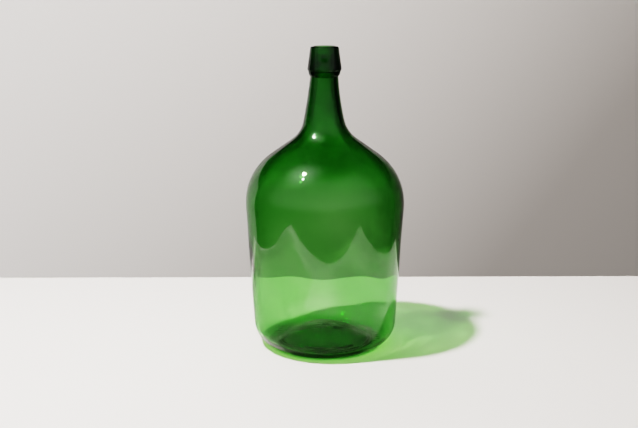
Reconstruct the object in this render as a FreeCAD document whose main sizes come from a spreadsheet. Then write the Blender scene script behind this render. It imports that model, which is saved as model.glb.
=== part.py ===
import FreeCAD, Part
import math
import os
import Sketcher

# Glass carboy, a demijohn of five litres: one piece of mould-blown glass, open at the mouth.
# +Z is up, and the origin is on the bottle's axis, in the plane that it stands on. Lengths are in
# millimetres and angles in degrees. The front, with the round pip on the collar, faces -Y.

SHEET = "Dimensions"
RIM_TOLERANCE = 0.01

# Each driving dimension: its alias, its value and what it is.
DIMENSIONS = [
    ("total_height", 362.0, "standing plane to the top of the lip"),
    ("body_radius", 95.8, "outside, at the widest place"),
    ("wide_thickness", 2.4, "glass at the widest place"),
    ("inside_drop", 1.8, "the shoulder's inside is centred this much lower, so its top is thicker"),
    ("low_wall_thickness", 1.9, "glass just above the heel; the wall thickens upwards from there"),
    ("foot_thickness", 5.0, "glass above the foot, under the lowest place of the inside"),
    ("heel_inside_radius", 22.0, "inside rounding between wall and floor"),
    ("push_up_height", 16.0, "hollow under the base, at the axis"),
    ("push_up_radius", 54.0, "hollow under the base, at the foot"),
    ("floor_height", 20.5, "top of the inside floor, at the axis"),
    ("foot_radius", 59.0, "outer edge of the flat foot, where the heel starts"),
    ("heel_radius", 28.6, "outside rounding between foot and wall"),
    ("shoulder_height", 174.5, "height of the widest place"),
    ("shoulder_radius", 74.0, "outside rounding of the shoulder, in section"),
    ("slope_angle", 35.0, "upper shoulder, from level"),
    ("neck_root_height", 275.0, "where the neck starts"),
    ("neck_root_radius", 24.2, "outside of the neck there"),
    ("neck_root_inside", 19.3, "inside of the neck there"),
    ("neck_curve_radius", 450.0, "slight hollow of the neck, in section"),
    ("neck_inside_curve", 300.0, "the same, on the inside"),
    ("neck_top_height", 326.8, "where the string ring starts"),
    ("neck_top_radius", 16.3, "outside of the neck there"),
    ("ring_bottom_height", 329.4, "lower corner of the string ring"),
    ("ring_bottom_radius", 18.3, "string ring, at that corner"),
    ("ring_top_height", 333.6, "upper corner of the string ring"),
    ("ring_top_radius", 19.2, "string ring, at that corner"),
    ("collar_height", 335.6, "lower corner of the collar, its widest place"),
    ("collar_radius", 20.3, "collar, at that corner"),
    ("lip_radius", 16.6, "collar at its top, before the lip is rounded"),
    ("bore_radius", 12.0, "straight bore of the mouth, for a bung"),
    ("bore_bottom_height", 322.0, "lower end of the straight bore"),
    ("lip_rounding", 2.4, "outer edge of the lip"),
    ("mouth_rounding", 1.4, "inner edge of the lip"),
    ("ring_rounding", 0.7, "corners of the string ring and the collar"),
    ("foot_rounding", 2.0, "inner edge of the foot"),
    ("grip_count", 64.0, "grooves round the foot"),
    ("grip_radius", 1.2, "one half-round groove"),
    ("grip_start", 57.2, "inner end of a groove, from the axis"),
    ("grip_length", 12.0, "a groove's cut, past where it runs out of the heel"),
    ("pip_height", 349.5, "middle of the round pip on the collar"),
    ("pip_radius", 3.6, "that pip"),
    ("pip_rise", 0.9, "how far it stands out of the collar"),
    ("pip_half_thickness", 2.0, "the whole pip, most of it sunk in the glass"),
]


def make_sheet(doc):
    """Writes the spreadsheet and returns its values by alias."""
    sheet = doc.addObject("Spreadsheet::Sheet", SHEET)
    for row, (alias, value, meaning) in enumerate(DIMENSIONS, start=1):
        sheet.set(f"A{row}", alias)
        sheet.set(f"B{row}", str(value))
        sheet.setAlias(f"B{row}", alias)
        sheet.set(f"C{row}", meaning)
    doc.recompute()
    return {alias: float(sheet.get(alias)) for alias, _, _ in DIMENSIONS}


def origin_feature(body, role):
    """One of the body's own origin planes or axes."""
    return next(feature for feature in body.Origin.OriginFeatures if feature.Role == role)


def new_sketch(body, name, role):
    """An empty sketch on one of the body's origin planes."""
    sketch = body.newObject("Sketcher::SketchObject", name)
    sketch.AttachmentSupport = [(origin_feature(body, role), "")]
    sketch.MapMode = "FlatFace"
    return sketch


def line(start, end):
    return Part.LineSegment(FreeCAD.Vector(*start, 0), FreeCAD.Vector(*end, 0))


def arc(start, end, bend):
    """An arc of radius |bend| from start to end. bend is positive where the way turns left."""
    first = FreeCAD.Vector(*start, 0)
    last = FreeCAD.Vector(*end, 0)
    chord = last - first
    right = FreeCAD.Vector(chord.y, -chord.x, 0).normalize()
    rise = abs(bend) - math.sqrt(bend**2 - (chord.Length / 2) ** 2)
    middle = (first + last) * 0.5 + right * math.copysign(rise, bend)
    return Part.Arc(first, middle, last)


class Chain:
    """A closed chain of lines and arcs in a sketch, drawn roughly and then held by constraints.

    Sketch x is the radius from the bottle's axis and sketch y the height.
    """

    CENTRE = 3
    ORIGIN = (-1, 1)
    LEVEL_AXIS = -1
    UPRIGHT_AXIS = -2

    def __init__(self, sketch, start, pieces):
        """pieces holds each piece's name, its bend (0 is straight) and the rough place of its end."""
        self.sketch = sketch
        self.number = {}
        self.ends = {}
        for name, bend, end in pieces:
            piece = arc(start, end, bend) if bend else line(start, end)
            self.number[name] = sketch.addGeometry(piece, False)
            self.ends[name] = (2, 1) if bend < 0 else (1, 2)
            start = end

    def add(self, *what, follows=None):
        """Adds a constraint. Where it has a value, that follows an expression."""
        index = self.sketch.addConstraint(Sketcher.Constraint(*what))
        if follows is not None:
            self.sketch.renameConstraint(index, f"value_{index}")
            self.sketch.setExpression(f"Constraints.value_{index}", follows)

    def join_all(self, smooth):
        """Joins each piece to the next: without a corner after the pieces named in smooth."""
        names = list(self.number)
        for name, next_name in zip(names, names[1:] + names[:1]):
            kind = "Tangent" if name in smooth else "Coincident"
            leaving = (self.number[name], self.ends[name][1])
            arriving = (self.number[next_name], self.ends[next_name][0])
            self.add(kind, *leaving, *arriving)

    def hold(self, name, point, radius, height):
        """Holds a point of a piece at a radius and a height: expressions, or None for zero."""
        at = (self.number[name], point)
        place = self.sketch.getPoint(*at)
        if radius is None:
            self.add("PointOnObject", *at, self.UPRIGHT_AXIS)
        else:
            self.add("DistanceX", *self.ORIGIN, *at, place.x, follows=radius)
        if height is None:
            self.add("PointOnObject", *at, self.LEVEL_AXIS)
        else:
            self.add("DistanceY", *self.ORIGIN, *at, place.y, follows=height)

    def hold_end(self, name, radius, height):
        self.hold(name, self.ends[name][1], radius, height)

    def hold_centre(self, name, radius, height):
        self.hold(name, self.CENTRE, radius, height)

    def hold_radius(self, name, expression):
        number = self.number[name]
        self.add("Radius", number, self.sketch.Geometry[number].Radius, follows=expression)

    def hold_angle(self, name, expression):
        """Holds the way of a line, from sketch x."""
        number = self.number[name]
        way = self.sketch.Geometry[number].EndPoint - self.sketch.Geometry[number].StartPoint
        self.add("Angle", number, math.atan2(way.y, way.x), follows=expression)


def on_arc(centre, radius, angle):
    """A place on a circle, by its angle from sketch x."""
    turned = math.radians(angle)
    return (centre[0] + radius * math.cos(turned), centre[1] + radius * math.sin(turned))


def rough_outside(size):
    """The outside from the push-up to the lip, near enough for the constraints to settle."""
    heel_centre = (size["foot_radius"], size["heel_radius"])
    shoulder_centre = (size["body_radius"] - size["shoulder_radius"], size["shoulder_height"])
    slope_top = (1.8 * size["neck_root_radius"], 0.9 * size["neck_root_height"])
    return [
        ("push_up", -2 * size["push_up_radius"], (size["push_up_radius"], 0)),
        ("foot", 0, (size["foot_radius"], 0)),
        ("heel", size["heel_radius"], on_arc(heel_centre, size["heel_radius"], 0)),
        ("wall", 0, on_arc(shoulder_centre, size["shoulder_radius"], 0)),
        (
            "shoulder",
            size["shoulder_radius"],
            on_arc(shoulder_centre, size["shoulder_radius"], 90 - size["slope_angle"]),
        ),
        ("slope", 0, slope_top),
        ("root", -2 * size["neck_root_radius"], (size["neck_root_radius"], size["neck_root_height"])),
        ("neck", -size["neck_curve_radius"], (size["neck_top_radius"], size["neck_top_height"])),
        ("ring_under", 0, (size["ring_bottom_radius"], size["ring_bottom_height"])),
        ("ring", 0, (size["ring_top_radius"], size["ring_top_height"])),
        ("collar_under", 0, (size["collar_radius"], size["collar_height"])),
        ("collar", 0, (size["lip_radius"], size["total_height"])),
        ("lip", 0, (size["bore_radius"], size["total_height"])),
    ]


def rough_inside(size):
    """The inside from the mouth down to the floor, and back up the axis to the push-up."""
    heel_inside = size["heel_inside_radius"]
    heel_centre = (size["foot_radius"], size["foot_thickness"] + heel_inside)
    shoulder_centre = (size["body_radius"] - size["shoulder_radius"], size["shoulder_height"])
    shoulder_inside = size["shoulder_radius"] - size["wide_thickness"]
    slope_top = (1.9 * size["neck_root_inside"], 0.9 * size["neck_root_height"])
    return [
        ("bore", 0, (size["bore_radius"], size["bore_bottom_height"])),
        ("neck_inside", size["neck_inside_curve"], (size["neck_root_inside"], size["neck_root_height"])),
        ("root_inside", 2 * size["neck_root_radius"], slope_top),
        ("slope_inside", 0, on_arc(shoulder_centre, shoulder_inside, 90 - size["slope_angle"])),
        ("shoulder_inside", -shoulder_inside, on_arc(shoulder_centre, shoulder_inside, 0)),
        ("wall_inside", 0, on_arc(heel_centre, heel_inside, 0)),
        ("heel_inside", -heel_inside, on_arc(heel_centre, heel_inside, -120)),
        ("floor", 2 * size["foot_radius"], (0, size["floor_height"])),
        ("axis", 0, (0, size["push_up_height"])),
    ]


SMOOTH = {
    "foot", "heel", "wall", "shoulder", "slope", "root",
    "neck_inside", "root_inside", "slope_inside", "shoulder_inside", "wall_inside", "heel_inside",
}

# The corners that the sheet places: the piece that ends there, and the aliases of radius and height.
HELD_CORNERS = [
    ("push_up", "push_up_radius", None),
    ("foot", "foot_radius", None),
    ("root", "neck_root_radius", "neck_root_height"),
    ("neck", "neck_top_radius", "neck_top_height"),
    ("ring_under", "ring_bottom_radius", "ring_bottom_height"),
    ("ring", "ring_top_radius", "ring_top_height"),
    ("collar_under", "collar_radius", "collar_height"),
    ("collar", "lip_radius", "total_height"),
    ("lip", "bore_radius", "total_height"),
    ("bore", "bore_radius", "bore_bottom_height"),
    ("neck_inside", "neck_root_inside", "neck_root_height"),
    ("floor", None, "floor_height"),
    ("axis", None, "push_up_height"),
]


def cell(alias):
    """The expression for one cell of the sheet."""
    return alias and f"{SHEET}.{alias}"


def wall_sketch(body, size):
    """The glass in section, on one side of the axis."""
    sketch = new_sketch(body, "WallSection", "XZ_Plane")
    chain = Chain(sketch, (0, size["push_up_height"]), rough_outside(size) + rough_inside(size))
    chain.join_all(SMOOTH)
    for name, radius, height in HELD_CORNERS:
        chain.hold_end(name, cell(radius), cell(height))
    shoulder_centre = f"{cell('body_radius')} - {cell('shoulder_radius')}"
    inside_height = f"{cell('shoulder_height')} - {cell('inside_drop')}"
    chain.hold_centre("shoulder", shoulder_centre, cell("shoulder_height"))
    chain.hold_centre("shoulder_inside", shoulder_centre, inside_height)
    low_wall_inside = f"{cell('foot_radius')} + {cell('heel_radius')} - {cell('low_wall_thickness')}"
    chain.hold_centre(
        "heel_inside",
        f"{low_wall_inside} - {cell('heel_inside_radius')}",
        f"{cell('foot_thickness')} + {cell('heel_inside_radius')}",
    )
    for name in ("push_up", "floor"):
        chain.add("PointOnObject", chain.number[name], Chain.CENTRE, Chain.UPRIGHT_AXIS)
    chain.hold_radius("heel", cell("heel_radius"))
    chain.hold_radius("heel_inside", cell("heel_inside_radius"))
    chain.hold_radius("shoulder", cell("shoulder_radius"))
    chain.hold_radius("shoulder_inside", f"{cell('shoulder_radius')} - {cell('wide_thickness')}")
    chain.hold_radius("neck", cell("neck_curve_radius"))
    chain.hold_radius("neck_inside", cell("neck_inside_curve"))
    chain.hold_angle("slope", f"(180 - {cell('slope_angle')}) * 1 deg")
    chain.hold_angle("slope_inside", f"-{cell('slope_angle')} * 1 deg")
    return sketch


def revolve_wall(doc, body, size):
    wall = body.newObject("PartDesign::Revolution", "Wall")
    sketch = wall_sketch(body, size)
    wall.Profile = sketch
    wall.ReferenceAxis = (sketch, ["V_Axis"])
    wall.Angle = 360
    sketch.Visibility = False
    doc.recompute()
    return wall


def rims(shape, corners):
    """Names of the circular edges at the given radii and heights."""
    found = []
    for number, edge in enumerate(shape.Edges, start=1):
        if edge.Degenerated or not isinstance(edge.Curve, Part.Circle):
            continue
        here = (edge.Curve.Radius, edge.Curve.Center.z)
        if any(math.dist(here, corner) < RIM_TOLERANCE for corner in corners):
            found.append(f"Edge{number}")
    return found


def round_corners(doc, body, base, name, alias, corners):
    """Rounds the bottle's rims at these corners by one radius."""
    rounding = body.newObject("PartDesign::Fillet", name)
    edges = rims(base.Shape, corners)
    if len(edges) != len(corners):
        raise RuntimeError(f"{name}: {len(edges)} rims found for {len(corners)} corners")
    rounding.Base = (base, edges)
    rounding.setExpression("Radius", cell(alias))
    doc.recompute()
    return rounding


def round_rims(doc, body, wall, size):
    """The lip, the mouth, the string ring and collar, and the inner edge of the foot."""
    ring_corners = [
        (size["ring_bottom_radius"], size["ring_bottom_height"]),
        (size["ring_top_radius"], size["ring_top_height"]),
        (size["collar_radius"], size["collar_height"]),
    ]
    lip = [(size["lip_radius"], size["total_height"])]
    mouth = [(size["bore_radius"], size["total_height"])]
    foot = [(size["push_up_radius"], 0)]
    base = round_corners(doc, body, wall, "LipRounding", "lip_rounding", lip)
    base = round_corners(doc, body, base, "MouthRounding", "mouth_rounding", mouth)
    base = round_corners(doc, body, base, "RingRounding", "ring_rounding", ring_corners)
    return round_corners(doc, body, base, "FootRounding", "foot_rounding", foot)


def cut_grips(doc, body, base):
    """Half-round grooves across the outer edge of the foot, running out on the heel."""
    sketch = new_sketch(body, "GripSection", "YZ_Plane")
    sketch.setExpression("AttachmentOffset.Base.z", cell("grip_start"))
    circle = sketch.addGeometry(Part.Circle(FreeCAD.Vector(0, 0, 0), FreeCAD.Vector(0, 0, 1), 1), False)
    sketch.addConstraint(Sketcher.Constraint("Coincident", circle, Chain.CENTRE, *Chain.ORIGIN))
    radius = sketch.addConstraint(Sketcher.Constraint("Radius", circle, 1))
    sketch.renameConstraint(radius, "grip_radius")
    sketch.setExpression("Constraints.grip_radius", cell("grip_radius"))
    doc.recompute()

    groove = body.newObject("PartDesign::Pocket", "Grip")
    groove.Profile = sketch
    groove.setExpression("Length", cell("grip_length"))
    groove.Reversed = True
    sketch.Visibility = False
    doc.recompute()
    if groove.Shape.Volume >= base.Shape.Volume:
        raise RuntimeError("the foot's groove cuts nothing")

    pattern = body.newObject("PartDesign::PolarPattern", "Grips")
    pattern.Originals = [groove]
    pattern.Axis = (origin_feature(body, "Z_Axis"), [""])
    pattern.Angle = 360
    pattern.setExpression("Occurrences", cell("grip_count"))
    body.Tip = pattern
    doc.recompute()
    return pattern


def add_pip(doc, body):
    """The round pip on the front of the collar: an ellipsoid that lies along the collar's taper."""
    narrowing = f"({cell('collar_radius')} - {cell('lip_radius')})"
    taper = f"{narrowing} / ({cell('total_height')} - {cell('collar_height')})"
    surface = f"{cell('collar_radius')} - ({cell('pip_height')} - {cell('collar_height')}) * {taper}"
    pip = body.newObject("PartDesign::AdditiveEllipsoid", "Pip")
    pip.setExpression("Radius1", cell("pip_half_thickness"))
    pip.setExpression("Radius2", cell("pip_radius"))
    pip.setExpression("Radius3", cell("pip_radius"))
    # The angle that follows the taper turns about X.
    level = FreeCAD.Rotation(FreeCAD.Vector(1, 0, 0), 90)
    pip.AttachmentOffset = FreeCAD.Placement(FreeCAD.Vector(0, 0, 0), level)
    sunk = f"{cell('pip_half_thickness')} - {cell('pip_rise')}"
    pip.AttachmentSupport = [(origin_feature(body, "XY_Plane"), "")]
    pip.MapMode = "FlatFace"
    pip.setExpression("AttachmentOffset.Base.y", f"-({surface} - ({sunk}))")
    pip.setExpression("AttachmentOffset.Base.z", cell("pip_height"))
    pip.setExpression("AttachmentOffset.Rotation.Angle", f"90 deg - atan({taper})")
    doc.recompute()
    return pip


def make_carboy(doc, size):
    body = doc.addObject("PartDesign::Body", "carboy_glass")
    body.Label = "carboy_glass"
    wall = revolve_wall(doc, body, size)
    rounded = round_rims(doc, body, wall, size)
    cut_grips(doc, body, rounded)
    body.Tip = add_pip(doc, body)
    doc.recompute()
    return body


def check(doc, parts):
    """Stops the build if any object failed or any part isn't one good closed solid."""
    for thing in doc.Objects:
        if "Invalid" in thing.State or "Error" in thing.State:
            raise RuntimeError(f"{thing.Name} failed: {thing.State}")
    for part in parts:
        shape = part.Shape
        if shape.isNull() or not shape.isValid() or len(shape.Solids) != 1:
            raise RuntimeError(f"{part.Label} is not one valid solid")


def report(part):
    shape = part.Shape
    box = shape.optimalBoundingBox()
    print(f"{part.Label}: {box.XLength:.1f} x {box.YLength:.1f} x {box.ZLength:.1f} mm", end=", ")
    print(f"{shape.Volume / 1000:.0f} ml of glass, {len(shape.Faces)} faces")


def main():
    doc = FreeCAD.newDocument("Carboy")
    size = make_sheet(doc)
    parts = [make_carboy(doc, size)]
    check(doc, parts)
    os.makedirs("parts", exist_ok=True)
    for part in parts:
        part.Shape.exportStep(os.path.join("parts", f"{part.Label}.step"))
        report(part)


main()
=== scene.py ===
import math

import bpy
import numpy as np
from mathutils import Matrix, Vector


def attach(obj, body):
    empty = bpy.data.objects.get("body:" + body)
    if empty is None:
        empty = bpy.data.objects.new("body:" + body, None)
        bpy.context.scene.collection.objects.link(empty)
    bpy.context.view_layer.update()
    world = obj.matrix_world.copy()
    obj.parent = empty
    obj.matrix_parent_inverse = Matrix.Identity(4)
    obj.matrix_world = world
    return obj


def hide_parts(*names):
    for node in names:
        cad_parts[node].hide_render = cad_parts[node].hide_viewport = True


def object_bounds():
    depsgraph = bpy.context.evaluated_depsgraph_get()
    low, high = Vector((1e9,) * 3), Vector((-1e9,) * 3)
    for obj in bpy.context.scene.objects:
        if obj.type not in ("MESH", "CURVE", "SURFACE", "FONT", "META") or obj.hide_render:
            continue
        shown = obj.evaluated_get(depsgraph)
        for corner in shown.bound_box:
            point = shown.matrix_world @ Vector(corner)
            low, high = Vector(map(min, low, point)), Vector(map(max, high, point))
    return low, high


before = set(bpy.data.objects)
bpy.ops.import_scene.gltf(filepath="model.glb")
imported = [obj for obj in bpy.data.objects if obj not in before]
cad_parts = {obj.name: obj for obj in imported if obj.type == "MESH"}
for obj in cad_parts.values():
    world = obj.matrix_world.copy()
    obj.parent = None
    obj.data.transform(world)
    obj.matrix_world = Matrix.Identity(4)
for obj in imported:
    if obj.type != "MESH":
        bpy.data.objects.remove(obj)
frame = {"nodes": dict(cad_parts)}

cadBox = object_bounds()
print("frame loaded:", ", ".join(frame["nodes"]))

# Metres, +Z up, the bottle's axis on Z and its foot at Z = 0. The front faces -Y.
mm = 0.001


def crossing(first, second):
    # Where two lines meet, each given by its unit normal and its distance from the origin
    return np.linalg.solve([first[0], second[0]], [first[1], second[1]])


def lineAlong(normal, centre, radius):
    # The line that touches a circle on the side that the normal points to
    return normal, normal @ centre + radius


def lineRound(upper, upperRadius, lower, lowerRadius):
    # The line that touches two circles on their outer side. Its normal, taken along the way between
    # the centres, is the difference of the radii.
    way = upper - lower
    angle = math.atan2(way[1], way[0]) - math.acos((lowerRadius - upperRadius) / np.linalg.norm(way))
    return lineAlong(np.array([math.cos(angle), math.sin(angle)]), upper, upperRadius)


def arcCorner(start, end, radius):
    # Where the tangents at the ends of a hollow arc meet, and the normal of the first tangent. The
    # tangent leaves the chord by the angle whose sine is half the chord over the radius.
    chord = end - start
    half = np.linalg.norm(chord) / 2
    turn = math.asin(half / radius)
    way = chord / np.linalg.norm(chord)
    way = np.array([
        way[0] * math.cos(turn) - way[1] * math.sin(turn),
        way[0] * math.sin(turn) + way[1] * math.cos(turn),
    ])
    return start + way * half / math.cos(turn), np.array([way[1], -way[0]])


def roundedOutline(corners):
    # A polyline whose corners are rounded by arcs. Each corner gives its distance from the axis, its
    # height, the radius of its rounding, and how many points go on the run before it and on its arc.
    # The arc starts at rounding over the tangent of half the corner's angle from the corner.
    spots = np.array([corner[:2] for corner in corners], float)
    points = [spots[:1]]
    here = spots[0]
    for i in range(1, len(corners) - 1):
        rounding, onRun, onArc = corners[i][2:]
        back = spots[i - 1] - spots[i]
        ahead = spots[i + 1] - spots[i]
        back /= np.linalg.norm(back)
        ahead /= np.linalg.norm(ahead)
        half = math.acos(back @ ahead) / 2
        reach = rounding / math.tan(half)
        start = spots[i] + back * reach
        middle = spots[i] + (back + ahead) / np.linalg.norm(back + ahead) * rounding / math.sin(half)
        share = np.linspace(0, 1, onRun + 2)[1:-1, None]
        points.append(here + (start - here) * share)
        turn = np.linspace(0, math.pi - 2 * half, onArc)[:, None]
        points.append(middle + (start - middle) * np.cos(turn) - back * rounding * np.sin(turn))
        here = spots[i] + ahead * reach
    share = np.linspace(0, 1, corners[-1][3] + 2)[1:, None]
    points.append(here + (spots[-1] - here) * share)
    return np.concatenate(points) * mm


def smoothStep(value, low, high):
    # 0 below low, 1 above high, and three times the square less twice the cube between
    share = np.clip((value - low) / (high - low), 0, 1)
    return share * share * (3 - 2 * share)


def band(value, low, high, fade):
    # 1 between low and high, falling smoothly to 0 over fade on each side. The limits are in mm.
    rising = smoothStep(value, (low - fade) * mm, low * mm)
    return rising * (1 - smoothStep(value, high * mm, (high + fade) * mm))


def ringQuads(columns, rows):
    # Quads between neighbouring columns and rows of a grid that closes round the axis
    column = np.arange(columns)[:, None] * rows
    following = (np.arange(columns)[:, None] + 1) % columns * rows
    row = np.arange(rows - 1)[None, :]
    corners = [column + row, following + row, following + row + 1, column + row + 1]
    return np.stack(corners, 2).reshape(-1, 4).tolist()


def meshObject(name, points, faces):
    mesh = bpy.data.meshes.new(name)
    mesh.from_pydata(np.asarray(points).tolist(), [], faces)
    mesh.validate()
    mesh.update()
    thing = bpy.data.objects.new(name, mesh)
    bpy.context.collection.objects.link(thing)
    return thing


def nodeTree(material):
    material.use_nodes = True
    tree = material.node_tree
    tree.nodes.clear()
    return tree


def addNode(tree, kind, **values):
    # Adds a shader node. Values whose name is an input's go to that input, the rest are settings.
    node = tree.nodes.new(kind)
    for name, value in values.items():
        if name in node.inputs:
            node.inputs[name].default_value = value
        else:
            setattr(node, name, value)
    return node


def addRamp(tree, stops):
    # A smooth colour ramp through the stops, each a share and a colour
    ramp = addNode(tree, "ShaderNodeValToRGB")
    ramp.color_ramp.interpolation = "EASE"
    steps = ramp.color_ramp.elements
    while len(steps) < len(stops):
        steps.new(1.0)
    for step, (share, colour) in zip(steps, stops):
        step.position = share
        step.color = (*colour, 1)
    return ramp


def addPlace(tree):
    # Two nodes: the place on the object, and the same split into x, y and z
    place = addNode(tree, "ShaderNodeTexCoord")
    parts = addNode(tree, "ShaderNodeSeparateXYZ")
    tree.links.new(place.outputs["Object"], parts.inputs[0])
    return place, parts


bottle = {
    # sizes in mm; a pair is a distance from the axis and a height
    "bodyRadius": 95.8,
    "shoulderRadius": 74,
    "shoulderHeight": 174.5,
    "slope": 35,               # degrees, the upper shoulder from level
    "footRadius": 59,
    "heelRadius": 28.6,
    "hollowRadius": 54,        # under the base
    "hollowRise": 16,
    "neckRoot": (24.2, 275),
    "neckCurve": 450,
    "neckTop": (16.3, 326.8),
    "ringBottom": (18.3, 329.4),
    "ringTop": (19.2, 333.6),
    "collar": (20.3, 335.6),
    "lip": (16.6, 362),
    "mouth": (12, 362),
    "boreEnd": (12, 322),
    "insideRoot": (19.3, 275),
    "insideNeckCurve": 300,
    "wideGlass": 2.4,          # thickness at the widest place
    "insideDrop": 1.8,         # the shoulder's inside is centred this much lower
    "lowGlass": 1.9,           # thickness above the heel
    "footGlass": 5,
    "insideHeelRadius": 22,
    "floorTop": 20.5,          # the inside floor, at the axis

    "turns": 320,              # columns round the bottle
    "seed": 11,
    # waves of the blown surfaces: how deep in mm, how many, how many lobes round the bottle, how
    # long in mm, and where they are: from, to and how far they fade
    "outerWaves": {"depth": 0.10, "count": 14, "lobes": (2, 9), "lengths": (60, 220)},
    "innerWaves": {"depth": 0.12, "count": 14, "lobes": (2, 7), "lengths": (90, 260)},
    "floorWaves": {"depth": 0.16, "count": 12, "lobes": (2, 6), "lengths": (16, 40)},
    "outerWavesAt": (40, 300, 30),
    "innerWavesAt": (30, 262, 24),
    "floorWavesUnder": (24, 34),   # these fade between the two heights
    "floorWavesPast": (6, 16),     # and grow between the two distances from the axis
    "oval": 0.18,              # mm out of round
    "ovalTurn": 0.7,
    "ovalAt": (30, 230, 30),
    "neckLean": -0.9,          # mm to the side, halfway up the neck
    "neckLeanAt": (285, 305, 35),
    "grips": 64,               # grooves round the foot
    "gripDepth": 1.3,
    "gripAt": (59.5, 65, 2.5),  # distances from the axis
    "gripTop": 8,
    "pipHeight": 349.5,
    "pipRadius": 3.6,
    "pipRise": 1.2,
    "pipEdge": 0.4,            # smaller is steeper at the rim
    "pipAbove": 330,
    "seamRise": 0.22,          # the mould's two parting lines
    "seamWidth": 0.9,
    "seamRadius": 94,
    "seamAt": (6, 325, 5),
}


def outsideCorners():
    # From the middle of the push-up over the foot, wall, shoulder, neck and collar to the mouth. The
    # hollow's corner is where its tangents at the axis and at the foot meet.
    rise, foot = bottle["hollowRise"], bottle["hollowRadius"]
    shoulder = np.array([bottle["bodyRadius"] - bottle["shoulderRadius"], bottle["shoulderHeight"]])
    heel = np.array([bottle["footRadius"], bottle["heelRadius"]])
    wall = lineRound(shoulder, bottle["shoulderRadius"], heel, bottle["heelRadius"])
    slope = math.radians(bottle["slope"])
    upper = lineAlong(np.array([math.sin(slope), math.cos(slope)]), shoulder, bottle["shoulderRadius"])
    root = np.array(bottle["neckRoot"])
    neck, rootNormal = arcCorner(root, np.array(bottle["neckTop"]), bottle["neckCurve"])
    # the roundings at the neck and its root are a little under the full ones, so that a short
    # straight run is left between them
    return [
        (0, rise),
        ((foot ** 2 + rise ** 2) / (2 * foot), rise, 99, 0, 18),
        (foot, 0, 2, 0, 5),
        (wall[1] / wall[0][0], 0, bottle["heelRadius"], 4, 20),
        (*crossing(wall, upper), bottle["shoulderRadius"], 18, 28),
        (*crossing(upper, (rootNormal, rootNormal @ root)), 35.4, 7, 14),
        (*neck, 435, 1, 12),
        (*bottle["neckTop"], 0.9, 0, 4),
        (*bottle["ringBottom"], 0.7, 1, 5),
        (*bottle["ringTop"], 0.7, 1, 5),
        (*bottle["collar"], 0.7, 1, 5),
        (*bottle["lip"], 2.4, 18, 8),
        (*bottle["mouth"], 1.4, 0, 7),
    ]


def insideCorners():
    # From the lower end of the bore down to the middle of the floor. The floor is an arc round the
    # axis that touches the heel's inside circle: its radius is the square of that circle's distance
    # from the floor's top, less the square of its radius, over twice what it reaches under the top.
    shoulder = np.array([bottle["bodyRadius"] - bottle["shoulderRadius"],
                         bottle["shoulderHeight"] - bottle["insideDrop"]])
    shoulderRadius = bottle["shoulderRadius"] - bottle["wideGlass"]
    heelRadius = bottle["insideHeelRadius"]
    heel = np.array([bottle["footRadius"] + bottle["heelRadius"] - bottle["lowGlass"] - heelRadius,
                     bottle["footGlass"] + heelRadius])
    wall = lineRound(shoulder, shoulderRadius, heel, heelRadius)
    slope = math.radians(bottle["slope"])
    upper = lineAlong(np.array([math.sin(slope), math.cos(slope)]), shoulder, shoulderRadius)
    top = bottle["floorTop"]
    over = heel[1] - top
    floorRadius = (heel[0] ** 2 + over ** 2 - heelRadius ** 2) / (2 * (heelRadius - over))
    toHeel = heel - (0, top - floorRadius)
    toHeel /= np.linalg.norm(toHeel)
    rim = lineAlong(toHeel, np.array([0, top - floorRadius]), floorRadius)
    root = np.array(bottle["insideRoot"])
    neck, rootNormal = arcCorner(root, np.array(bottle["boreEnd"]), bottle["insideNeckCurve"])
    return [
        (*bottle["boreEnd"], 25, 8, 4),
        (*neck, 285, 0, 8),
        (*crossing(upper, (rootNormal, rootNormal @ root)), 41.5, 0, 12),
        (*crossing(wall, upper), shoulderRadius, 5, 22),
        (*crossing(wall, rim), heelRadius, 16, 14),
        (*crossing(rim, (np.array([0, 1]), top)), floorRadius, 0, 14),
        (0, top, 0, 0, 0),
    ]


def waves(rng, angle, place, kind):
    # A sum of gentle waves: each is a cosine round the bottle times a cosine along it, and all of
    # them together have a spread of the kind's depth
    total = np.zeros(np.broadcast(angle, place).shape)
    for _ in range(kind["count"]):
        lobe = rng.integers(kind["lobes"][0], kind["lobes"][1] + 1)
        length = rng.uniform(*kind["lengths"]) * mm
        roundPhase, alongPhase = rng.uniform(0, 2 * math.pi, 2)
        total += np.cos(lobe * angle + roundPhase) * np.cos(2 * math.pi * place / length + alongPhase)
    return total * 2 / math.sqrt(kind["count"]) * kind["depth"]


def bottleColumns():
    # Even turns, with a few narrow ones at each parting line, so that the line has its own edges
    even = np.arange(bottle["turns"]) * 2 * math.pi / bottle["turns"]
    half = bottle["seamWidth"] / 2 / bottle["seamRadius"]
    near = np.array([-half, -half / 2, half / 2, half])
    return np.sort(np.concatenate([even, near % (2 * math.pi), math.pi + near]))


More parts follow.
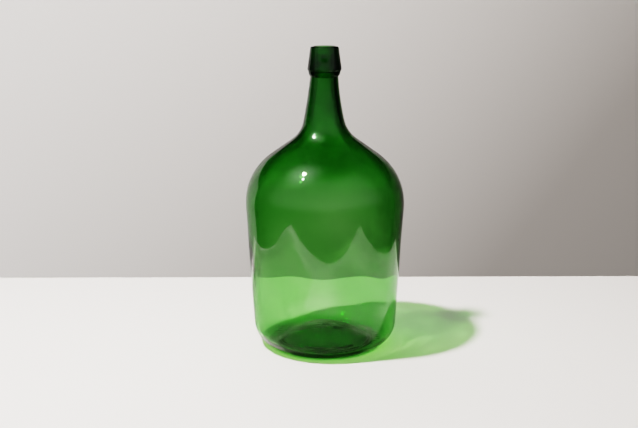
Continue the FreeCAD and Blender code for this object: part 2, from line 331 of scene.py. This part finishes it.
def bottleRelief(angle, radius, height, outside):
    # How far each point stands off the outline, in mm. The distance from a parting line, and from
    # the middle of the front, is the angle from it times the radius.
    rng = np.random.default_rng(bottle["seed"])
    outer = band(height, *bottle["outerWavesAt"]) * outside
    relief = waves(rng, angle, height, bottle["outerWaves"]) * outer
    inner = band(height, *bottle["innerWavesAt"]) * ~outside
    relief += waves(rng, angle, height, bottle["innerWaves"]) * inner

    grips = outside * band(radius, *bottle["gripAt"]) * (height < bottle["gripTop"] * mm)
    relief -= (0.5 + 0.5 * np.cos(bottle["grips"] * angle)) * grips * bottle["gripDepth"]

    aside = np.abs((angle + math.pi / 2) % math.pi - math.pi / 2) * radius
    seam = np.clip(1 - aside / (bottle["seamWidth"] / 2 * mm), 0, 1)
    relief += seam * outside * band(height, *bottle["seamAt"]) * bottle["seamRise"]

    fromFront = (angle - 1.5 * math.pi) * radius
    fromPip = np.hypot(fromFront, height - bottle["pipHeight"] * mm) / (bottle["pipRadius"] * mm)
    pip = np.clip(1 - fromPip ** 2, 0, 1) ** bottle["pipEdge"]
    relief += pip * bottle["pipRise"] * outside * (height > bottle["pipAbove"] * mm)

    low, high = np.array(bottle["floorWavesUnder"]) * mm
    near, far = np.array(bottle["floorWavesPast"]) * mm
    floor = ~outside * (1 - smoothStep(height, low, high)) * smoothStep(radius, near, far)
    relief += waves(rng, angle, radius, bottle["floorWaves"]) * floor
    return relief


def bottlePoints():
    # The outline turned round the axis, each point then moved along the outline's own normal
    outline = roundedOutline(outsideCorners() + insideCorners())
    angle = bottleColumns()[:, None]
    radius, height = outline[1:-1, 0], outline[1:-1, 1]
    way = np.gradient(outline, axis=0)[1:-1]
    way /= np.linalg.norm(way, axis=1)[:, None]
    outside = np.arange(len(height)) <= np.argmax(height)
    relief = bottleRelief(angle, radius, height, outside) * mm
    r = radius + way[:, 1] * relief
    z = height - way[:, 0] * relief
    oval = np.cos(2 * angle + bottle["ovalTurn"]) * band(height, *bottle["ovalAt"])
    r = r + bottle["oval"] * mm * oval
    x = r * np.cos(angle) + bottle["neckLean"] * mm * band(height, *bottle["neckLeanAt"])
    y = r * np.sin(angle)
    ends = [[0, 0, outline[0, 1]], [0, 0, outline[-1, 1]]]
    return np.stack([x, y, z], 2), ends


def makeBottle():
    # The last two points are the poles, under the base and on the floor. Each has a fan of triangles.
    grid, ends = bottlePoints()
    columns, rows = grid.shape[:2]
    points = np.concatenate([grid.reshape(-1, 3), ends])
    low, high = np.array(cadBox[0]), np.array(cadBox[1])
    points[:, :2] *= min(1, min(high[:2]) / np.abs(points[:, :2]).max())
    points[:, 2] = np.clip(points[:, 2], low[2], high[2])
    around = np.arange(columns)
    following = (around + 1) % columns
    pole = np.full(columns, columns * rows)
    under = np.stack([pole, following * rows, around * rows], 1)
    floor = np.stack([pole + 1, around * rows + rows - 1, following * rows + rows - 1], 1)
    quads = ringQuads(columns, rows)
    thing = meshObject("bottle_glass", points, quads + under.tolist() + floor.tolist())
    thing.data.polygons.foreach_set("use_smooth", np.ones(len(thing.data.polygons), bool))
    triangles = 2 * len(quads) + 2 * columns
    print("bottle:", columns, "columns by", rows, "rows,", triangles, "triangles")
    return thing


glass = {
    # each colour is absorbed at density times one less the tint, per metre of glass
    "tint": (0.173, 0.663, 0.058),
    "density": 520,
    "bending": 1.52,
    "smooth": 0.0,             # roughness of clean glass
    "scuffed": 0.16,           # roughness where it is worn
    "scuffScale": 420.0,
    "scuffFrom": 0.66,         # the noise at which wear starts, and at which it is full
    "scuffFull": 0.74,
    "rippleSize": 0.022,       # metres from one ripple to the next
    "rippleHeight": 0.00005,
    "rippleStretch": 0.35,     # ripples are longer up the bottle than round it
}


def glassMaterial():
    material = bpy.data.materials.new("green_bottle_glass")
    tree = nodeTree(material)
    shader = addNode(tree, "ShaderNodeBsdfPrincipled", **{
        "Base Color": (1, 1, 1, 1),
        "Transmission Weight": 1.0,
        "IOR": glass["bending"],
    })
    place = addNode(tree, "ShaderNodeTexCoord")

    # ripples of the blown surface
    stretch = addNode(tree, "ShaderNodeMapping")
    stretch.inputs["Scale"].default_value = (1, 1, glass["rippleStretch"])
    ripple = addNode(tree, "ShaderNodeTexNoise", Scale=1 / glass["rippleSize"], Detail=1.0)
    bump = addNode(tree, "ShaderNodeBump", Strength=1.0, Distance=glass["rippleHeight"])
    tree.links.new(place.outputs["Object"], stretch.inputs[0])
    tree.links.new(stretch.outputs[0], ripple.inputs["Vector"])
    tree.links.new(ripple.outputs["Fac"], bump.inputs["Height"])
    tree.links.new(bump.outputs[0], shader.inputs["Normal"])

    # scuffs: specks where a fine noise passes its threshold
    speck = addNode(tree, "ShaderNodeTexNoise", Scale=glass["scuffScale"], Detail=3.0, Roughness=0.6)
    worn = addNode(tree, "ShaderNodeMapRange", **{
        "From Min": glass["scuffFrom"], "From Max": glass["scuffFull"],
        "To Min": glass["smooth"], "To Max": glass["scuffed"],
    })
    tree.links.new(place.outputs["Object"], speck.inputs["Vector"])
    tree.links.new(speck.outputs["Fac"], worn.inputs["Value"])
    tree.links.new(worn.outputs[0], shader.inputs["Roughness"])

    absorb = addNode(tree, "ShaderNodeVolumeAbsorption", Color=(*glass["tint"], 1), Density=glass["density"])
    out = addNode(tree, "ShaderNodeOutputMaterial")
    tree.links.new(shader.outputs[0], out.inputs["Surface"])
    tree.links.new(absorb.outputs[0], out.inputs["Volume"])
    return material


theBottle = makeBottle()
theBottle.cycles.is_caustics_caster = True
theBottle.data.materials.append(glassMaterial())
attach(theBottle, "root")
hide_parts("carboy_glass")
print("glass: done")

room = {
    # metres from the bottle's axis
    "tableFront": -0.41,
    "tableBack": 0.268,
    "tableHalf": 0.43,         # the part that shows in the glass
    "floorHalf": 0.9,
    "wallAway": 1.7,
    "wallHalf": 3.0,
    "wallBottom": -1.5,
    "wallTop": 3.0,
    "tableColour": (0.86, 0.824, 0.795),
    "wallColour": (0.70, 0.66, 0.63),
    "roughness": 0.9,
    # painted light on the wall, a glow: its colour, how much at its middle, and what is added per metre
    "glowColour": (1, 0.957, 0.930, 1),
    "wallGlow": 0.205,
    "glowRight": -0.25,
    "glowUp": 0.18,
    # the dark cards before the wall: where each starts, to the left and to the right, how far it
    # takes to reach its full darkness, how dark that is, and above what height all is dark
    "cardGap": 0.1,
    "cardStart": (-0.22, 0.16),
    "cardFade": 0.20,
    "cardDark": 0.35,
    "cardColour": (0.06, 0.06, 0.06),
    "darkAbove": 0.75,
    "topColour": (0.04, 0.04, 0.04),
    # painted shade for the glass's reflections: sheets on the table, their edges left, front, right and back,
    # and how dark they are
    "shadeSheets": [(-0.42, -0.33, -0.105, 0.20), (-0.105, -0.21, 0.09, -0.06)],
    "shadeSheetHeight": 0.001,
    "shadeSheetColour": (0.05, 0.07, 0.03),
    "shadeSheetDark": 0.65,
    # the room in the glass: share of the way up to the ceiling and brightness there, and between
    # which shares of the radius, from back to front, it reaches its full brightness
    "domeRadius": 4.0,
    "domeGlow": [(0.0, 0.07), (0.30, 0.60), (0.80, 0.60), (0.94, 0.05)],
    "domeFront": (0.2, -0.4),
    "domeBack": 0.15,          # share of the brightness at the back
    "ambient": 0.11,
    "ambientColour": (1, 0.98, 0.96, 1),
}


def seenOnlyBy(thing, *rays):
    for ray in ("camera", "diffuse", "glossy", "transmission", "shadow"):
        setattr(thing, "visible_" + ray, ray in rays)


def plainMaterial(name, colour):
    material = bpy.data.materials.new(name)
    tree = nodeTree(material)
    shader = addNode(tree, "ShaderNodeBsdfPrincipled", **{
        "Base Color": (*colour, 1),
        "Roughness": room["roughness"],
    })
    out = addNode(tree, "ShaderNodeOutputMaterial")
    tree.links.new(shader.outputs[0], out.inputs["Surface"])
    return material


def fadedMaterial(name, colour, strength):
    # A matt material mixed with clear by a strength. Also returns the mixing node.
    material = plainMaterial(name, colour)
    tree = material.node_tree
    clear = addNode(tree, "ShaderNodeBsdfTransparent")
    mixed = addNode(tree, "ShaderNodeMixShader")
    mixed.inputs[0].default_value = strength
    tree.links.new(clear.outputs[0], mixed.inputs[1])
    tree.links.new(tree.nodes["Principled BSDF"].outputs[0], mixed.inputs[2])
    tree.links.new(mixed.outputs[0], tree.nodes["Material Output"].inputs["Surface"])
    return material, mixed


def makeTable():
    # The table, and on both sides of it more floor that the glass neither reflects nor shows
    half, far, front, back = room["tableHalf"], room["floorHalf"], room["tableFront"], room["tableBack"]
    points = np.array([(x, y, 0) for y in (front, back) for x in (-far, -half, half, far)])
    table = meshObject("floor", points[[1, 2, 6, 5]], [(0, 1, 2, 3)])
    sides = meshObject("floor_sides", points, [(0, 1, 5, 4), (2, 3, 7, 6)])
    seenOnlyBy(sides, "camera", "diffuse", "shadow")
    pale = plainMaterial("pale_table", room["tableColour"])
    for thing in (table, sides):
        thing.data.materials.append(pale)
        thing.cycles.is_caustics_receiver = True
    return [table, sides]


def makeShadeSheets():
    # Painted shade: half-dark sheets on the table, seen only as reflections low on the glass
    z = room["shadeSheetHeight"]
    points = []
    for left, front, right, back in room["shadeSheets"]:
        points += [(left, front, z), (right, front, z), (right, back, z), (left, back, z)]
    faces = [tuple(range(i, i + 4)) for i in range(0, len(points), 4)]
    shadeSheets = meshObject("table_shade_sheets", points, faces)
    shadeSheets.data.materials.append(fadedMaterial("painted_reflection_shade", room["shadeSheetColour"], room["shadeSheetDark"])[0])
    seenOnlyBy(shadeSheets, "glossy")
    return shadeSheets


def uprightSheet(name, left, right, away, bottom, top):
    points = [(left, away, bottom), (right, away, bottom), (right, away, top), (left, away, top)]
    return meshObject(name, points, [(0, 1, 2, 3)])


def makeWall():
    # A matt wall that also glows, painted light as if lit from all round, less to the right and more higher
    # up: glow = middle + x * right + z * up
    wall = uprightSheet("backdrop", -room["wallHalf"], room["wallHalf"], room["wallAway"],
                        room["wallBottom"], room["wallTop"])
    material = plainMaterial("pale_wall", room["wallColour"])
    tree = material.node_tree
    place = addNode(tree, "ShaderNodeTexCoord")
    slope = addNode(tree, "ShaderNodeVectorMath", operation="DOT_PRODUCT")
    slope.inputs[1].default_value = (room["glowRight"], 0, room["glowUp"])
    glow = addNode(tree, "ShaderNodeMath", operation="ADD", use_clamp=True)
    glow.inputs[1].default_value = room["wallGlow"]
    shader = tree.nodes["Principled BSDF"]
    shader.inputs["Emission Color"].default_value = room["glowColour"]
    tree.links.new(place.outputs["Object"], slope.inputs[0])
    tree.links.new(slope.outputs["Value"], glow.inputs[0])
    tree.links.new(glow.outputs[0], shader.inputs["Emission Strength"])
    wall.data.materials.append(material)
    return wall


def makeCards():
    # Dark cards before the wall, seen only in and through the glass, so that its sides are dark as
    # they are among darker things. The two at the sides are clear at their near edges.
    far, away = room["wallHalf"], room["wallAway"] - room["cardGap"]
    cards = []
    for name, side, start in zip(("left", "right"), (-1, 1), room["cardStart"]):
        card = uprightSheet("dark_card_" + name, start, side * far, away, room["wallBottom"], room["wallTop"])
        material, mixed = fadedMaterial("dark_card", room["cardColour"], 0)
        tree = material.node_tree
        parts = addPlace(tree)[1]
        fade = addNode(tree, "ShaderNodeMapRange", interpolation_type="SMOOTHSTEP", **{
            "From Min": start, "From Max": start + side * room["cardFade"], "To Max": room["cardDark"],
        })
        tree.links.new(parts.outputs["X"], fade.inputs["Value"])
        tree.links.new(fade.outputs[0], mixed.inputs[0])
        card.data.materials.append(material)
        cards.append(card)
    nearer = away - room["cardGap"] / 10
    card = uprightSheet("dark_card_top", -far, far, nearer, room["darkAbove"], room["wallTop"])
    card.data.materials.append(plainMaterial("dark_card_top", room["topColour"]))
    cards.append(card)
    for card in cards:
        seenOnlyBy(card, "glossy", "transmission")
    return cards


def makeDome():
    # What the glass shows where nothing stands: a room, bright in front at the height of its windows
    radius = room["domeRadius"]
    bpy.ops.mesh.primitive_uv_sphere_add(segments=48, ring_count=24, radius=radius)
    dome = bpy.context.object
    dome.name = "room_dome"
    material = bpy.data.materials.new("room_dome")
    tree = nodeTree(material)
    parts = addPlace(tree)[1]
    rise = addNode(tree, "ShaderNodeMath", operation="DIVIDE")
    rise.inputs[1].default_value = radius
    glow = addRamp(tree, [(share, (level,) * 3) for share, level in room["domeGlow"]])
    back, front = room["domeFront"]
    facing = addNode(tree, "ShaderNodeMapRange", interpolation_type="SMOOTHSTEP", **{
        "From Min": back * radius, "From Max": front * radius, "To Min": room["domeBack"],
    })
    light = addNode(tree, "ShaderNodeEmission")
    out = addNode(tree, "ShaderNodeOutputMaterial")
    tree.links.new(parts.outputs["Z"], rise.inputs[0])
    tree.links.new(rise.outputs[0], glow.inputs[0])
    tree.links.new(glow.outputs[0], light.inputs["Color"])
    tree.links.new(parts.outputs["Y"], facing.inputs["Value"])
    tree.links.new(facing.outputs[0], light.inputs["Strength"])
    tree.links.new(light.outputs[0], out.inputs["Surface"])
    dome.data.materials.append(material)
    seenOnlyBy(dome, "glossy", "transmission")
    return dome


shade = {
    # share of a lamp's light that passes each crossing of the shell, by the share of its height
    "colours": [(0.03, (0.66, 0.86, 0.58)), (0.09, (0.38, 0.71, 0.27)),
                (0.60, (0.38, 0.71, 0.27)), (0.75, (0.15, 0.50, 0.11))],
    "under": (0.12, 0.32, 0.10),   # the same for the light that reaches the table under the bottle
    "gap": 0.05,                   # mm outside the glass
    "bottom": 2,                   # mm, the shell's lower edge
    "past": 58,                    # mm, and it starts further from the axis than this
}


def shadeMaterials(height):
    # One for the shell, which changes with height, and one for its flat bottom
    materials = []
    for name in ("green_shade", "green_shade_under"):
        material = bpy.data.materials.new(name)
        tree = nodeTree(material)
        clear = addNode(tree, "ShaderNodeBsdfTransparent", Color=(*shade["under"], 1))
        out = addNode(tree, "ShaderNodeOutputMaterial")
        tree.links.new(clear.outputs[0], out.inputs["Surface"])
        materials.append(material)
    tree = materials[0].node_tree
    parts = addPlace(tree)[1]
    rise = addNode(tree, "ShaderNodeMath", operation="DIVIDE")
    rise.inputs[1].default_value = height
    ramp = addRamp(tree, shade["colours"])
    tree.links.new(parts.outputs["Z"], rise.inputs[0])
    tree.links.new(rise.outputs[0], ramp.inputs[0])
    tree.links.new(ramp.outputs[0], tree.nodes["Transparent BSDF"].inputs["Color"])
    return materials


def makeShade():
    # The light that the glass bends onto the table isn't coloured by its depth, so a thin coloured
    # shell round the bottle, seen by shadow rays alone, colours it. It follows the outside from the
    # heel to the lip, and a fan of triangles closes it below.
    mesh = theBottle.data
    points = np.empty((len(mesh.vertices), 3), np.float32)
    normals = np.empty_like(points)
    mesh.vertices.foreach_get("co", points.ravel())
    mesh.vertices.foreach_get("normal", normals.ravel())
    columns = len(bottleColumns())
    grid = (points + normals * shade["gap"] * mm)[:-2].reshape(columns, -1, 3)
    height = grid[0, :, 2]
    lip = np.argmax(height)
    first = np.argmax((height > shade["bottom"] * mm) & (grid[0, :, 0] > shade["past"] * mm))
    grid = grid[:, first:lip + 1]
    rows = grid.shape[1]
    around = np.arange(columns)
    middle = np.full(columns, columns * rows)
    quads = ringQuads(columns, rows)
    under = np.stack([middle, (around + 1) % columns * rows, around * rows], 1).tolist()
    points = np.concatenate([grid.reshape(-1, 3), [[0, 0, shade["bottom"] * mm]]])
    thing = meshObject("green_shade", points, quads + under)
    for material in shadeMaterials(height[lip]):
        thing.data.materials.append(material)
    slots = np.repeat([0, 1], [len(quads), len(under)]).astype(np.int32)
    thing.data.polygons.foreach_set("material_index", slots)
    seenOnlyBy(thing, "shadow")
    return thing


tables = makeTable()
wall = makeWall()
cards = makeCards()
greenShade = makeShade()
makeShadeSheets()
makeDome()
print("room: done")

lamp = {
    "sideways": -63,           # degrees round from the camera's side, to the left
    "up": 64,
    "away": 1.6,
    "aim": 0.1,                # metres above the table that it points at
    "size": 0.105,
    "power": 39,
    "colour": (1, 0.97, 0.94),
    "bent": 0.45,              # share of the power whose light the glass bends onto the table
    # a second, smaller light, seen only as a reflection: its place from the lamp, in metres
    "glintPlace": (-0.075, -0.226, -0.107),
    "glintSize": 0.075,
    "glintGlow": 300,
    # a soft patch round the lamp, seen only as a reflection
    "haloSize": 1.7,
    "haloBehind": 0.05,
    "haloGlow": 3.0,
    "haloFall": 1.6,           # the power by which its glow falls off towards its rim
}


def lampWay():
    sideways, up = math.radians(lamp["sideways"]), math.radians(lamp["up"])
    return np.array([math.sin(sideways) * math.cos(up), -math.cos(sideways) * math.cos(up), math.sin(up)])


def lampPlace(behind=0.0):
    return lampWay() * (lamp["away"] + behind) + np.array([0, 0, lamp["aim"]])


def makeDisc(name, middle, size, corners):
    # A disc that faces along the lamp's way, seen only as a reflection
    toward = lampWay()
    across = np.cross(toward, (0, 0, 1))
    across /= np.linalg.norm(across)
    upright = np.cross(across, toward)
    angle = np.arange(corners)[:, None] * 2 * math.pi / corners
    points = middle + (across * np.cos(angle) + upright * np.sin(angle)) * size / 2
    disc = meshObject(name, points, [tuple(range(corners))])
    seenOnlyBy(disc, "glossy", "transmission")
    return disc


def makeGlint():
    glint = makeDisc("lamp_glint", lampPlace() + lamp["glintPlace"], lamp["glintSize"], 24)
    material = bpy.data.materials.new("lamp_glint")
    tree = nodeTree(material)
    light = addNode(tree, "ShaderNodeEmission", Strength=lamp["glintGlow"])
    out = addNode(tree, "ShaderNodeOutputMaterial")
    tree.links.new(light.outputs[0], out.inputs["Surface"])
    glint.data.materials.append(material)
    return glint


def makeHalo():
    # A disc behind the lamp. Its glow is a power of the share that is left of the way to its rim, and
    # is added to what is behind it.
    middle = lampPlace(lamp["haloBehind"])
    halo = makeDisc("lamp_halo", middle, lamp["haloSize"], 48)
    material = bpy.data.materials.new("lamp_halo")
    tree = nodeTree(material)
    place = addNode(tree, "ShaderNodeTexCoord")
    off = addNode(tree, "ShaderNodeVectorMath", operation="DISTANCE")
    off.inputs[1].default_value = tuple(middle)
    left = addNode(tree, "ShaderNodeMapRange", **{
        "From Max": lamp["haloSize"] / 2, "To Min": 1.0, "To Max": 0.0,
    })
    fall = addNode(tree, "ShaderNodeMath", operation="POWER")
    fall.inputs[1].default_value = lamp["haloFall"]
    glow = addNode(tree, "ShaderNodeMath", operation="MULTIPLY")
    glow.inputs[1].default_value = lamp["haloGlow"]
    light = addNode(tree, "ShaderNodeEmission")
    clear = addNode(tree, "ShaderNodeBsdfTransparent")
    both = addNode(tree, "ShaderNodeAddShader")
    out = addNode(tree, "ShaderNodeOutputMaterial")
    tree.links.new(place.outputs["Object"], off.inputs[0])
    tree.links.new(off.outputs["Value"], left.inputs["Value"])
    tree.links.new(left.outputs[0], fall.inputs[0])
    tree.links.new(fall.outputs[0], glow.inputs[0])
    tree.links.new(glow.outputs[0], light.inputs["Strength"])
    tree.links.new(clear.outputs[0], both.inputs[0])
    tree.links.new(light.outputs[0], both.inputs[1])
    tree.links.new(both.outputs[0], out.inputs["Surface"])
    halo.data.materials.append(material)
    return halo


def makeLamp(name, share):
    light = bpy.data.lights.new(name, "AREA")
    light.shape = "DISK"
    light.size = lamp["size"]
    light.energy = lamp["power"] * share
    light.color = lamp["colour"]
    thing = bpy.data.objects.new(name, light)
    thing.location = lampPlace()
    thing.rotation_mode = "QUATERNION"
    thing.rotation_quaternion = Vector(lampWay()).to_track_quat("Z", "Y")
    bpy.context.collection.objects.link(thing)
    return thing


def makeLamps():
    # Two lamps at one place. The glass bends the first one's light; the second one's goes straight
    # through it, coloured by the shell, and fills the shadow.
    bent = makeLamp("key_lamp", lamp["bent"])
    bent.data.cycles.is_caustics_light = True
    straight = makeLamp("fill_lamp", 1 - lamp["bent"])
    straight.visible_transmission = False
    blockers = bpy.data.collections.new("lamp_blockers")
    blockers.objects.link(theBottle)
    straight.light_linking.blocker_collection = blockers
    blockers.collection_objects[0].light_linking.link_state = "EXCLUDE"


def lightWorld():
    world = bpy.data.worlds.new("room")
    bpy.context.scene.world = world
    world.use_nodes = True
    background = world.node_tree.nodes["Background"]
    background.inputs["Color"].default_value = room["ambientColour"]
    background.inputs["Strength"].default_value = room["ambient"]


makeLamps()
makeHalo()
makeGlint()
lightWorld()
print("lamps: done")

view = {
    # metres from the bottle's foot, and degrees
    "away": 1.1576,
    "up": 0.4328,
    "down": 13.21,             # below level
    "aside": -0.0062,
    "lean": 0.17,
    "lens": 55.33,             # mm, on a sensor of the width below
    "sensor": 36,
}


def makeCamera():
    camera = bpy.data.cameras.new("camera")
    camera.lens = view["lens"]
    camera.sensor_width = view["sensor"]
    thing = bpy.data.objects.new("camera", camera)
    thing.location = (view["aside"], -view["away"], view["up"])
    thing.rotation_euler = (math.radians(90 - view["down"]), math.radians(view["lean"]), 0)
    bpy.context.collection.objects.link(thing)
    bpy.context.scene.camera = thing


makeCamera()
scene = bpy.context.scene
scene.view_settings.view_transform = "Filmic"
scene.view_settings.look = "Very High Contrast"
scene.cycles.max_bounces = 24
scene.cycles.transmission_bounces = 20
scene.cycles.transparent_max_bounces = 16
print("view: done")
